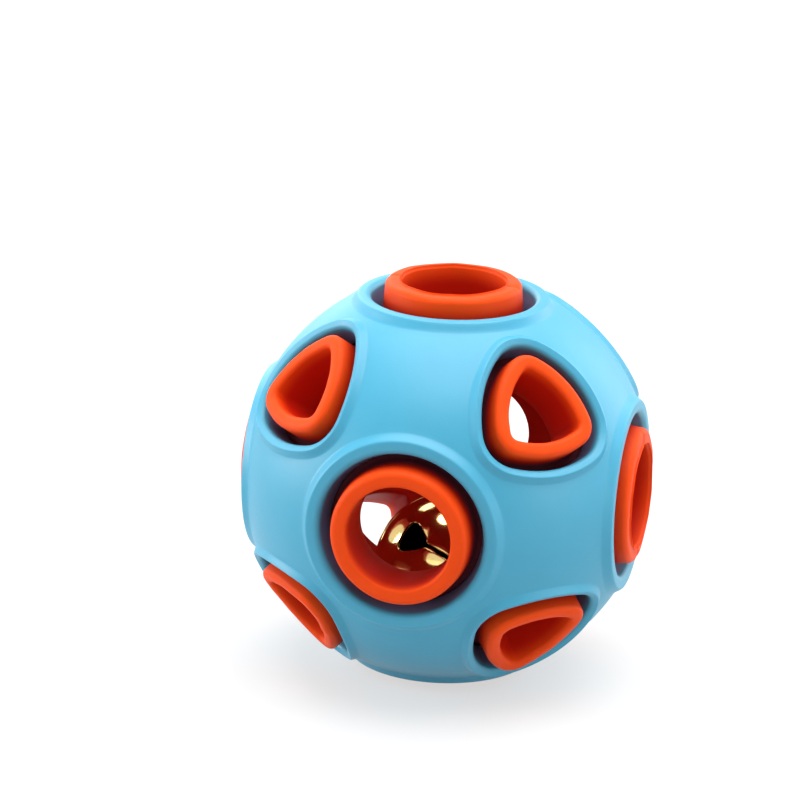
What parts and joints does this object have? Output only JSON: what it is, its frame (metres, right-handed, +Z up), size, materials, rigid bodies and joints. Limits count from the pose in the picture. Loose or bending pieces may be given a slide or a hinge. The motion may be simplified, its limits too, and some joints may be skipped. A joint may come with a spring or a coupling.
{
  "type": "pet bell ball",
  "caption": "Two-layer rubber pet ball: a holed outer shell round a hollow inner ball whose collars stand in the holes, with a loose jingle bell inside.",
  "frame": {"origin": "centre of the ball", "axes": "+Z up along the top round collar, -Y out of the front round collar, +X out of the right round collar; the halves of both balls meet on the plane y = 0"},
  "size_m": [0.0386, 0.0386, 0.0386],
  "materials": {
    "blue_rubber": "satin moulded rubber, sky blue",
    "orange_rubber": "satin moulded rubber, orange red",
    "brass": "polished",
    "steel": "bright ground ball"
  },
  "bodies": {
    "inner_ball": {"inner_ball_front": "orange_rubber", "inner_ball_back": "orange_rubber"},
    "outer_shell": {"outer_shell_front": "blue_rubber", "outer_shell_back": "blue_rubber"},
    "bell": {"bell_crown": "brass", "bell_petals": "brass", "bell_loop": "brass"},
    "pellet": {"bell_pellet": "steel"}
  },
  "joints": [
    {"name": "shell_twist", "type": "hinge", "parent": "inner_ball", "child": "outer_shell", "pos_m": [0, 0, 0], "axis": [0, 0, 1], "range_deg": [-1.85, 1.85]},
    {"name": "bell_rattle", "type": "slide", "parent": "inner_ball", "child": "bell", "axis": [0, 0, 1], "range_m": [0, 0.01841]},
    {"name": "pellet_roll", "type": "hinge", "parent": "bell", "child": "pellet", "pos_m": [0, 0, -0.0092], "axis": [0.4876, -0.8255, 0.2842], "continuous": true}
  ]
}
